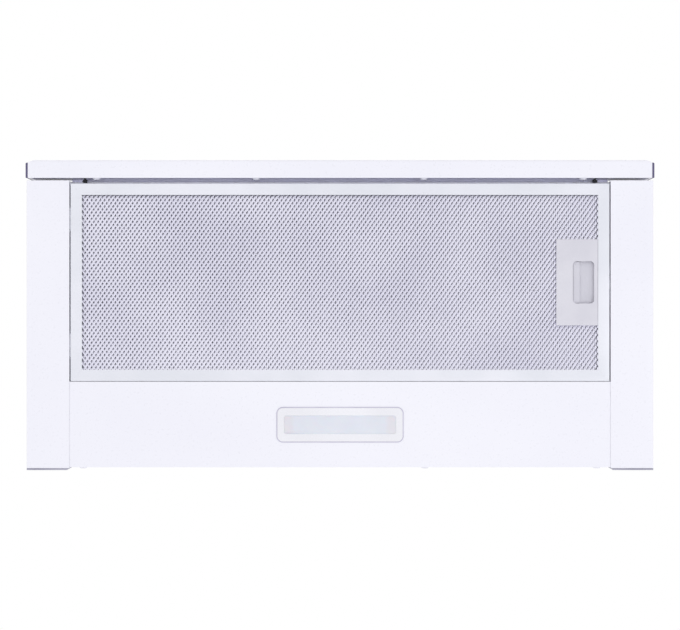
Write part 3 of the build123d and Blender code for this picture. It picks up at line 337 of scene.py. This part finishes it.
def expanded_mesh_tree():
    """Rows of points, every second row half a step across, each carrying two slit-and-pulled strands."""
    tree, given = node_group("expanded mesh", [
        ("Columns", "Int"), ("Rows", "Int"), ("Pitch", "Float"), ("Row Pitch", "Float"),
        ("Strand Width", "Float"), ("Foil", "Float"), ("Twist", "Float"), ("Lean", "Float"),
        ("Ripple", "Float"), ("Gap Centre", "Vector"), ("Gap Half", "Vector"), ("Material", "Material")])

    def reckon(operation, first, second=0.0):
        """The result of one math node."""
        return add(tree, "ShaderNodeMath", {0: first, 1: second}, operation=operation).outputs[0]

    grid = add(tree, "GeometryNodeMeshGrid", {
        "Size X": reckon("MULTIPLY", reckon("SUBTRACT", given["Columns"], 1.0), given["Pitch"]),
        "Size Y": reckon("MULTIPLY", reckon("SUBTRACT", given["Rows"], 1.0), given["Row Pitch"]),
        "Vertices X": given["Columns"], "Vertices Y": given["Rows"]})
    index = add(tree, "GeometryNodeInputIndex").outputs["Index"]
    odd_row = reckon("MODULO", reckon("MODULO", index, given["Rows"]), 2.0)
    half_pitch = reckon("MULTIPLY", given["Pitch"], 0.5)
    place = add(tree, "GeometryNodeInputPosition").outputs["Position"]
    swell = add(tree, "ShaderNodeTexNoise",
                {"Vector": place, "Scale": SWELLS_PER_METRE, "Detail": 1.0}).outputs["Fac"]
    lift = reckon("MULTIPLY", reckon("SUBTRACT", swell, 0.5), given["Ripple"])
    step = add(tree, "ShaderNodeCombineXYZ", {"X": reckon("MULTIPLY", odd_row, half_pitch), "Z": lift})
    rows = add(tree, "GeometryNodeSetPosition",
               {"Geometry": grid.outputs["Mesh"], "Offset": step.outputs["Vector"]})
    # points within the gap are dropped, where the latch is let in
    away = add(tree, "ShaderNodeVectorMath", {0: place, 1: given["Gap Centre"]}, operation="SUBTRACT")
    apart = add(tree, "ShaderNodeVectorMath", {0: away.outputs[0]}, operation="ABSOLUTE")
    inside = add(tree, "ShaderNodeVectorMath", {0: apart.outputs[0], 1: given["Gap Half"]},
                 operation="SUBTRACT")
    sides = add(tree, "ShaderNodeSeparateXYZ", {"Vector": inside.outputs[0]}).outputs
    in_gap = reckon("LESS_THAN", reckon("MAXIMUM", sides["X"], sides["Y"]), 0.0)
    kept = add(tree, "GeometryNodeDeleteGeometry",
               {"Geometry": rows.outputs["Geometry"], "Selection": in_gap})
    # one strand each way up to the next row, flat foil turned on edge by the pull
    quarter = reckon("MULTIPLY", half_pitch, 0.5)
    half_row = reckon("MULTIPLY", given["Row Pitch"], 0.5)
    slope = reckon("ARCTAN2", given["Row Pitch"], half_pitch)
    across_squared = reckon("POWER", half_pitch, 2.0)
    run = reckon("SQRT", reckon("ADD", across_squared, reckon("POWER", given["Row Pitch"], 2.0)))
    size = add(tree, "ShaderNodeCombineXYZ", {
        "X": reckon("ADD", run, reckon("MULTIPLY", given["Strand Width"], STRAND_LAP)),
        "Y": given["Strand Width"], "Z": given["Foil"]})
    strand = add(tree, "GeometryNodeMeshCube", {"Size": size.outputs["Vector"]})
    pair = add(tree, "GeometryNodeJoinGeometry")
    for side in (1, -1):
        turn = reckon("MULTIPLY", given["Twist"], float(side))
        leaning = reckon("ADD", turn, given["Lean"])
        heading = slope if side > 0 else reckon("SUBTRACT", math.pi, slope)
        angles = add(tree, "ShaderNodeCombineXYZ", {"X": leaning, "Z": heading})
        middle = add(tree, "ShaderNodeCombineXYZ",
                     {"X": reckon("MULTIPLY", quarter, float(side)), "Y": half_row})
        placed = add(tree, "GeometryNodeTransform",
                     {"Geometry": strand.outputs["Mesh"], "Rotation": angles.outputs["Vector"],
                      "Translation": middle.outputs["Vector"]})
        tree.links.new(placed.outputs["Geometry"], pair.inputs["Geometry"])
    many = add(tree, "GeometryNodeInstanceOnPoints",
               {"Points": kept.outputs["Geometry"], "Instance": pair.outputs["Geometry"]})
    solid = add(tree, "GeometryNodeRealizeInstances", {"Geometry": many.outputs["Instances"]})
    coated = add(tree, "GeometryNodeSetMaterial",
                 {"Geometry": solid.outputs["Geometry"], "Material": given["Material"]})
    add(tree, "NodeGroupOutput", {"Geometry": coated.outputs["Geometry"]})
    return tree


expanded_mesh = expanded_mesh_tree()


def mesh_layer(name, low, high, level, like, shift=(0.0, 0.0), turn=0.0, gap=NOWHERE, replaced=(),
               strand=1.75, twist=-28, lean=-7, spread=1.0):
    """A sheet of expanded mesh over a rectangle, at a level.

    low, high, level and gap are in metres, shift in pitches, turn, twist and lean in degrees, and strand,
    the width of a strand, in millimetres. spread widens the whole sheet a little."""
    pitch, row = DIAMOND * MM, DIAMOND_ROW * MM
    centre = Vector(((low[0] + high[0]) / 2 + shift[0] * pitch,
                     (low[1] + high[1]) / 2 + shift[1] * row, level))
    holder = new_piece(name + "_grid", bpy.data.meshes.new(name))
    modifier = holder.modifiers.new("expanded mesh", "NODES")
    modifier.node_group = expanded_mesh
    gap_low, gap_high = gap
    gap_centre = [(a + b) / 2 - c for a, b, c in zip(gap_low, gap_high, centre)]
    gap_half = [(b - a) / 2 for a, b in zip(gap_low, gap_high)]
    set_inputs(modifier, {
        "Columns": int((high[0] - low[0]) / pitch), "Rows": int((high[1] - low[1]) / row),
        "Pitch": pitch, "Row Pitch": row, "Strand Width": strand * MM, "Foil": MESH_FOIL * MM,
        "Twist": math.radians(twist), "Lean": math.radians(lean), "Ripple": MESH_RIPPLE * MM,
        "Gap Centre": gap_centre, "Gap Half": gap_half, "Material": mesh_aluminium})
    hinge = Matrix.Translation(Vector((low[0] - centre.x, 0, 0)))
    turned = hinge @ Matrix.Rotation(math.radians(turn), 4, "Z") @ hinge.inverted()
    widened = Matrix.Diagonal((spread, spread, 1, 1))
    piece = plain(holder, name, Matrix.Translation(centre) @ turned @ widened)
    return fit_out(piece, mesh_aluminium, like, replaced)


def folded_frame(name, low, high, border, foil, like, extra=(), slot=None, replaced=()):
    """Four U-section bars, mitred at the corners, round a mesh; extra boxes join it and slot is cut out."""
    bm = bmesh.new()
    height = high[2] - low[2]
    fold = foil * 0.6
    turns = [math.radians(a) for a in (0, 22, 45, 68, 90)]
    lower = [(fold - fold * math.sin(a), fold - fold * math.cos(a)) for a in turns]
    upper = [(d, height - z) for d, z in reversed(lower)]
    section = [(border, foil), (foil, foil), (foil, height - foil), (border, height - foil),
               (border, height), *reversed(upper), *reversed(lower), (border, 0)]
    seam = 0.012 * MM
    corners = [(low[0], low[1]), (high[0], low[1]), (high[0], high[1]), (low[0], high[1])]
    for i, start in enumerate(corners):
        end = corners[(i + 1) % 4]
        along = Vector((end[0] - start[0], end[1] - start[1])).normalized()
        inward = Vector((-along.y, along.x))
        rings = []
        for origin, sense in ((Vector(start), 1), (Vector(end), -1)):
            rings.append([bm.verts.new((*(origin + inward * d + along * sense * (d + seam)), low[2] + z))
                          for d, z in section])
        count = len(section)
        for k in range(count):
            bm.faces.new((rings[0][k], rings[0][(k + 1) % count], rings[1][(k + 1) % count], rings[1][k]))
        bm.faces.new(rings[0][::-1])
        bm.faces.new(rings[1])
    bmesh.ops.recalc_face_normals(bm, faces=bm.faces)
    mesh = bpy.data.meshes.new(name)
    bm.to_mesh(mesh)
    bm.free()
    bars = new_piece(name + "_bars", mesh)
    cutter = None
    if slot:
        cutter = blocks(name + "_slot", [slot])
        cut = bars.modifiers.new("slot", "BOOLEAN")
        cut.operation, cut.solver, cut.object = "DIFFERENCE", "EXACT", cutter
    bars = plain(bars, name + "_cut")
    if cutter:
        bpy.data.objects.remove(cutter)
    if extra:
        more = plain(bevelled(blocks(name + "_extra", extra), 0.2), name + "_more")
        bm = bmesh.new()
        bm.from_mesh(bars.data)
        bm.from_mesh(more.data)
        bm.to_mesh(bars.data)
        bm.free()
        bpy.data.objects.remove(more)
    piece = plain(bars, name)
    soft_shading(piece)
    return fit_out(piece, frame_aluminium, like, replaced)


# ---------------------------------------------------------------- main filter
def main_filter():
    """The frame with its two tongues and the latch bolt's slot, and three layers of mesh round the latch."""
    low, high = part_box("filter_frame")
    mesh_low, mesh_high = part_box("filter_mesh")
    latch_low, latch_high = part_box("latch_plate")
    foil, border, mesh_gap = 0.8 * MM, 11.0 * MM, 0.3 * MM
    tongue_inset, tongue_half, tongue_thickness, tongue_lift = 34.15 * MM, 11 * MM, 1.5 * MM, 3.0 * MM
    tongue_root = 0.2 * MM                      # how far a tongue runs into the frame
    edge_x = mesh_low.x - mesh_gap - foil       # outer face of the frame, without its tongues
    tongue_low_z = low.z + tongue_lift
    tongues = []
    for y in (low.y + tongue_inset, high.y - tongue_inset):
        tongues.append(((low.x, y - tongue_half, tongue_low_z),
                        (edge_x + tongue_root, y + tongue_half, tongue_low_z + tongue_thickness)))
    middle_y = (low.y + high.y) / 2
    slot_half, slot_lift = 8.5 * MM, 1.4 * MM
    slot = ((high.x - 2 * foil, middle_y - slot_half, low.z + slot_lift),
            (high.x + foil, middle_y + slot_half, high.z - foil))
    folded_frame("main_filter_frame", (edge_x, low.y, low.z), (high.x, high.y, high.z), border, foil,
                 "filter_frame", extra=tongues, slot=slot, replaced=["filter_frame"])
    inset = 3.2 * MM                            # outermost knots to the edge of the mesh's box
    area_low = (mesh_low.x + inset, mesh_low.y + inset)
    area_high = (mesh_high.x - inset, mesh_high.y - inset)
    # knots stop just inside the latch plate, so that strands run in under its edge
    lap_low, lap_rear, past_latch = 0.3 * MM, 0.4 * MM, 9 * MM
    gap = ((latch_low.x + lap_low, latch_low.y + lap_low, 0),
           (latch_high.x + past_latch, latch_high.y - DIAMOND_ROW * MM + lap_rear, 0))
    outer, middle, inner = (mesh_low.z + lift * MM for lift in (0.9, 2.0, 3.1))
    mesh_layer("filter_mesh_outer", area_low, area_high, outer, "filter_mesh", gap=gap,
               replaced=["filter_mesh"])
    mesh_layer("filter_mesh_middle", area_low, area_high, middle, "filter_mesh", gap=gap,
               shift=(0.46, 0.15), turn=0.006, spread=1.0006)
    mesh_layer("filter_mesh_inner", area_low, area_high, inner, "filter_mesh", gap=gap,
               shift=(0.25, 0.5), strand=2.9, twist=-10, lean=-3, spread=1.0012)


main_filter()


# ---------------------------------------------------------------- visor filter
def visor_filter():
    """The visor's own filter: a folded frame and two layers of mesh."""
    low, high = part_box("visor_filter")
    foil, border, inset, depth = 0.8 * MM, 9.0 * MM, 4.0 * MM, 1.8 * MM
    folded_frame("visor_filter_frame", low, high, border, foil, "visor_filter", replaced=["visor_filter"])
    area_low, area_high = (low.x + inset, low.y + inset), (high.x - inset, high.y - inset)
    for name, level, shift in (("outer", low.z + depth, 0.0), ("inner", high.z - depth, 0.4)):
        mesh_layer("visor_mesh_" + name, area_low, area_high, level, "visor_filter", shift=(shift, shift))


visor_filter()


# ---------------------------------------------------------------- lamp
def rounded_outline(half_x, half_y, corner, steps=8):
    """Points of a rectangle with rounded corners, anticlockwise about the origin."""
    points = []
    for i, (sx, sy) in enumerate(((1, 1), (-1, 1), (-1, -1), (1, -1))):
        for k in range(steps + 1):
            angle = math.radians(90 * i + 90 * k / steps)
            points.append((sx * (half_x - corner) + corner * math.cos(angle),
                           sy * (half_y - corner) + corner * math.sin(angle)))
    return points


def lamp_lens():
    """A flat frosted window that fills the bezel's opening, on a flange that stays behind the bezel."""
    low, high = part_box("lamp_diffuser")
    flange, snug, window_height = 2.2 * MM, 0.15 * MM, 1.15 * MM
    window_corner, flange_corner, edge = 1.9 * MM, 2.8 * MM, 0.06
    opening_x, opening_y = (high.x - low.x) / 2 - flange, (high.y - low.y) / 2 - flange
    middle = (low + high) / 2
    bm = bmesh.new()
    step_z = low.z + window_height
    levels = ((opening_x + snug, opening_y + snug, window_corner, low.z, step_z),
              (opening_x + flange, opening_y + flange, flange_corner, step_z, high.z))
    for half_x, half_y, corner, start, end in levels:
        outline = rounded_outline(half_x, half_y, corner)
        ring = [bm.verts.new((middle.x + x, middle.y + y, start)) for x, y in outline]
        made = bmesh.ops.extrude_face_region(bm, geom=[bm.faces.new(ring)])
        lifted = [v for v in made["geom"] if isinstance(v, bmesh.types.BMVert)]
        bmesh.ops.translate(bm, verts=lifted, vec=(0, 0, end - start))
    bmesh.ops.recalc_face_normals(bm, faces=bm.faces)
    mesh = bpy.data.meshes.new("lens")
    bm.to_mesh(mesh)
    bm.free()
    piece = plain(bevelled(new_piece("lens_rough", mesh), edge), "lamp_lens")
    soft_shading(piece)
    return fit_out(piece, lens, "lamp_diffuser", ["lamp_diffuser"])


def bezel_seal():
    """A thin foam seal between the bezel and the panel, whose violet-grey paints the shade line round the
    bezel.
    """
    low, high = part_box("lamp_bezel")
    panel_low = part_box("lamp_panel")[0]
    half_x, half_y, corner = (high.x - low.x) / 2, (high.y - low.y) / 2, 5.2 * MM
    middle = (low + high) / 2
    stand_out, tuck_in, thickness = 0.9 * MM, 0.4 * MM, 0.35 * MM
    top = panel_low.z
    bottom = top - thickness
    outer = rounded_outline(half_x + stand_out, half_y + stand_out, corner + stand_out)
    inner = rounded_outline(half_x - tuck_in, half_y - tuck_in, corner - tuck_in)
    bm = bmesh.new()
    rings = [[bm.verts.new((middle.x + x, middle.y + y, z)) for x, y in outline]
             for outline, z in ((outer, bottom), (outer, top), (inner, top), (inner, bottom))]
    count = len(outer)
    for ring, after in zip(rings, rings[1:] + rings[:1]):
        for k in range(count):
            bm.faces.new((ring[k], ring[(k + 1) % count], after[(k + 1) % count], after[k]))
    bmesh.ops.recalc_face_normals(bm, faces=bm.faces)
    mesh = bpy.data.meshes.new("lamp_bezel_seal")
    bm.to_mesh(mesh)
    bm.free()
    piece = new_piece("lamp_bezel_seal", mesh)
    soft_shading(piece)
    fit_out(piece, shade_line_foam, "lamp_bezel")


lamp_lens()
bezel_seal()


# ---------------------------------------------------------------- screws
def repeat_tree():
    """The same object on every point of a mesh, turned by one rotation."""
    tree, given = node_group("repeat at points", [("Thing", "Object"), ("Rotation", "Vector"),
                                                  ("Material", "Material")])
    thing = add(tree, "GeometryNodeObjectInfo", {"Object": given["Thing"]})
    many = add(tree, "GeometryNodeInstanceOnPoints",
               {"Points": given["Geometry"], "Instance": thing.outputs["Geometry"],
                "Rotation": given["Rotation"]})
    solid = add(tree, "GeometryNodeRealizeInstances", {"Geometry": many.outputs["Instances"]})
    coated = add(tree, "GeometryNodeSetMaterial",
                 {"Geometry": solid.outputs["Geometry"], "Material": given["Material"]})
    add(tree, "NodeGroupOutput", {"Geometry": coated.outputs["Geometry"]})
    return tree


repeated = repeat_tree()


def screw_mesh(head_radius, head_height, shank_radius, shank_length):
    """A pan-head screw standing on Z=0 with its head above and a cross recess cut into the head."""
    bm = bmesh.new()
    outline = [(0, -shank_length), (shank_radius * 0.7, -shank_length), (shank_radius, -shank_length * 0.85),
               (shank_radius, 0), (head_radius, 0), (head_radius, head_height * 0.35),
               (head_radius * 0.93, head_height * 0.7), (head_radius * 0.74, head_height * 0.92),
               (head_radius * 0.45, head_height), (0, head_height)]
    points = [bm.verts.new((r, 0, z)) for r, z in outline]
    edges = [bm.edges.new(pair) for pair in zip(points, points[1:])]
    bmesh.ops.spin(bm, geom=points + edges, cent=(0, 0, 0), axis=(0, 0, 1), angle=2 * math.pi, steps=28,
                   use_duplicate=False)
    bmesh.ops.remove_doubles(bm, verts=bm.verts, dist=0.01 * MM)
    bmesh.ops.recalc_face_normals(bm, faces=bm.faces)
    mesh = bpy.data.meshes.new("screw")
    bm.to_mesh(mesh)
    bm.free()
    head = new_piece("screw_blank", mesh)
    reach, half, depth = head_radius * 0.55, head_radius * 0.11, head_height * 0.6
    cutter = blocks("cross", [((-reach, -half, head_height - depth), (reach, half, head_height * 2)),
                              ((-half, -reach, head_height - depth), (half, reach, head_height * 2))])
    cut = head.modifiers.new("recess", "BOOLEAN")
    cut.operation, cut.solver, cut.object, cut.use_self = "DIFFERENCE", "EXACT", cutter, True
    head = plain(head, "screw")
    bpy.data.objects.remove(cutter)
    soft_shading(head, 40)
    return head


def screws(name, places, rotation, like, blank, replaced=()):
    """The blank screw at each place, as one piece."""
    holder_mesh = bpy.data.meshes.new(name)
    holder_mesh.from_pydata([tuple(p) for p in places], [], [])
    holder = new_piece(name + "_places", holder_mesh)
    modifier = holder.modifiers.new("screws", "NODES")
    modifier.node_group = repeated
    set_inputs(modifier, {"Thing": blank, "Rotation": rotation, "Material": screw_enamel})
    piece = plain(holder, name)
    return fit_out(piece, screw_enamel, like, replaced)


def all_screws():
    """Screws behind the rail, at the rear edge, and on the outlet adapter, all of one size."""
    head_radius, head_height, shank_radius, shank_length = 3.6 * MM, 1.6 * MM, 1.6 * MM, 4.8 * MM
    rail_inner_x, rear_middle_x = 80 * MM, 81 * MM
    adapter_inset, adapter_face_z = 7 * MM, 3 * MM
    blank = screw_mesh(head_radius, head_height, shank_radius, shank_length)
    low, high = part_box("rail_screws")
    plate_y = high.y - head_height
    reach = high.x - head_radius
    level = (low.z + high.z) / 2
    facing_rear = (-math.pi / 2, 0, 0)
    rail_x = (-reach, -rail_inner_x, rail_inner_x, reach)
    screws("rail_screw_heads", [(x, plate_y, level) for x in rail_x],
           facing_rear, "rail_screws", blank, ["rail_screws"])
    low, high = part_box("housing_screws")
    rear_y = high.y - head_height
    side_x = high.x - head_radius
    rear_x = (-side_x, rear_middle_x, side_x)
    screws("rear_screw_heads", [(x, rear_y, low.z + head_radius) for x in rear_x],
           facing_rear, "housing_screws", blank, ["housing_screws"])
    low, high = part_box("outlet_adapter")
    corners = [(x, y, adapter_face_z) for x in (low.x + adapter_inset, high.x - adapter_inset)
               for y in (low.y + adapter_inset, high.y - adapter_inset)]
    screws("adapter_screw_heads", corners, (0, 0, 0), "housing_screws", blank)
    bpy.data.objects.remove(blank)


all_screws()


# ---------------------------------------------------------------- latch springs
def latch_springs():
    """Two coil springs of round wire in the slider's bores."""
    low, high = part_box("latch_springs")
    radius, wire, turns, per_turn = 1.35 * MM, 0.22 * MM, 9, 14
    start, end = low.x + wire, high.x - wire
    middle_z = (low.z + high.z) / 2
    curve = bpy.data.curves.new("latch spring wire", "CURVE")
    curve.dimensions = "3D"
    curve.bevel_depth = wire
    curve.bevel_resolution = 3
    curve.use_fill_caps = True
    outer = 1.6 * MM
    for y in (low.y + outer, high.y - outer):
        spline = curve.splines.new("POLY")
        count = turns * per_turn
        spline.points.add(count)
        for i, point in enumerate(spline.points):
            angle = 2 * math.pi * i / per_turn
            point.co = (start + (end - start) * i / count, y + radius * math.cos(angle),
                        middle_z + radius * math.sin(angle), 1)
    piece = plain(new_piece("latch_spring_wire", curve), "latch_spring_coils")
    soft_shading(piece, 60)
    fit_out(piece, spring_steel, "latch_springs", ["latch_springs"])
    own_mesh(piece)


latch_springs()


# ---------------------------------------------------------------- buttons and their marks
def marked_button(name, mark):
    """A rounded button cap, and a small printed mark on its face."""
    node = "button_" + name
    rounded(node, button_plastic, 0.25)
    low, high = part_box(node)
    centre_x, centre_z = (low.x + high.x) / 2, (low.z + high.z) / 2
    if mark == "lamp":
        ring = 1.35 * MM
        lines = [((-ring * 0.45, -2.2 * MM), (ring * 0.45, -1.75 * MM))]
        ray_half, ray_x, ray_low, ray_high = 0.14 * MM, 2.5 * MM, 0.4 * MM, 1.3 * MM
        lines += [((-ray_half + s * ray_x, ray_low), (ray_half + s * ray_x, ray_high)) for s in (-1, 1)]
        bm = bmesh.new()
        bmesh.ops.create_circle(bm, cap_ends=True, radius=ring, segments=32,
                                matrix=Matrix.Translation((0, 0.35 * MM, 0)))
        for (x0, y0), (x1, y1) in lines:
            bm.faces.new([bm.verts.new((x, y, 0)) for x, y in ((x0, y0), (x1, y0), (x1, y1), (x0, y1))])
        mesh = bpy.data.meshes.new("lamp mark")
        bm.to_mesh(mesh)
        bm.free()
        flat = new_piece("lamp_mark_flat", mesh)
        thick = flat.modifiers.new("ink", "SOLIDIFY")
        thick.thickness, thick.offset = 0.06 * MM, 0
    else:
        text = bpy.data.curves.new("numeral", "FONT")
        text.body, text.size, text.extrude = mark, 5.2 * MM, 0.03 * MM
        text.align_x, text.align_y = "CENTER", "CENTER"
        flat = new_piece("numeral_flat", text)
    upright = Matrix.Translation((centre_x, low.y, centre_z)) @ Matrix.Rotation(math.pi / 2, 4, "X")
    piece = plain(flat, "mark_" + name, upright)
    fit_out(piece, ink, node)


for name, mark in (("lamp", "lamp"), ("off", "0"), ("speed_1", "1"), ("speed_2", "2"), ("speed_3", "3")):
    marked_button(name, mark)


# ---------------------------------------------------------------- room, lights and camera
def studio():
    """A pale floor well below the hood, a white room, and two large soft lights."""
    floor_drop, floor_size = 2.75, 30
    bpy.ops.mesh.primitive_plane_add(size=floor_size, location=(0, 0, cad_low.z - floor_drop))
    floor = bpy.context.object
    floor.name = "studio_floor"
    paint(floor, surface("painted studio floor, pale", "F4F4F6", "F6F6F8", 900, 4, 0.01, (0.7, 0.8)))

    world = bpy.data.worlds.new("studio")
    bpy.context.scene.world = world
    world.use_nodes = True
    tree = world.node_tree
    tree.nodes.clear()
    seen = add(tree, "ShaderNodeBackground", {"Color": (1, 1, 1, 1), "Strength": 1.0})
    fill = add(tree, "ShaderNodeBackground", {"Color": srgb("FAFAFC")})
    # the room's light falls off from overhead and underfoot towards the horizon
    height = add(tree, "ShaderNodeSeparateXYZ",
                 {"Vector": add(tree, "ShaderNodeTexCoord").outputs["Generated"]}).outputs["Z"]
    steep = add(tree, "ShaderNodeMath", {0: height}, operation="ABSOLUTE").outputs[0]
    level = add(tree, "ShaderNodeMapRange",
                {"Value": steep, "From Max": 0.6, "To Min": 0.7, "To Max": 1.2}).outputs["Result"]
    tree.links.new(level, fill.inputs["Strength"])
    path = add(tree, "ShaderNodeLightPath")
    both = add(tree, "ShaderNodeMixShader", {0: path.outputs["Is Camera Ray"], 1: fill.outputs[0],
                                             2: seen.outputs[0]})
    add(tree, "ShaderNodeOutputWorld", {"Surface": both.outputs[0]})

    def soft_light(name, place, size, power):
        """A large square lamp aimed at the hood."""
        lamp = bpy.data.lights.new(name, "AREA")
        lamp.size, lamp.energy = size, power
        holder = new_piece(name, lamp)
        holder.location = place
        holder.rotation_euler = (-Vector(place)).to_track_quat("-Z", "Y").to_euler()

    soft_light("key", (1.6, 0.9, -1.9), 1.2, 4.0)
    soft_light("fill", (-1.2, -2.0, 1.4), 1.5, 5.0)


def camera():
    """Straight below the hood, its front edge at the top of the view."""
    distance = 1.85                         # below the underside
    rail_share = 0.925                      # of the view's width that the front rail fills
    width_in_view = (cad_high.x - cad_low.x) / rail_share
    data = bpy.data.cameras.new("camera")
    data.lens = distance * data.sensor_width / width_in_view
    data.clip_start, data.clip_end = 0.05, 100
    holder = new_piece("camera", data)
    holder.location = (0, 0, cad_low.z - distance)
    holder.rotation_euler = (math.pi, 0, 0)
    bpy.context.scene.camera = holder
    bpy.context.scene.view_settings.view_transform = "Standard"


studio()
camera()
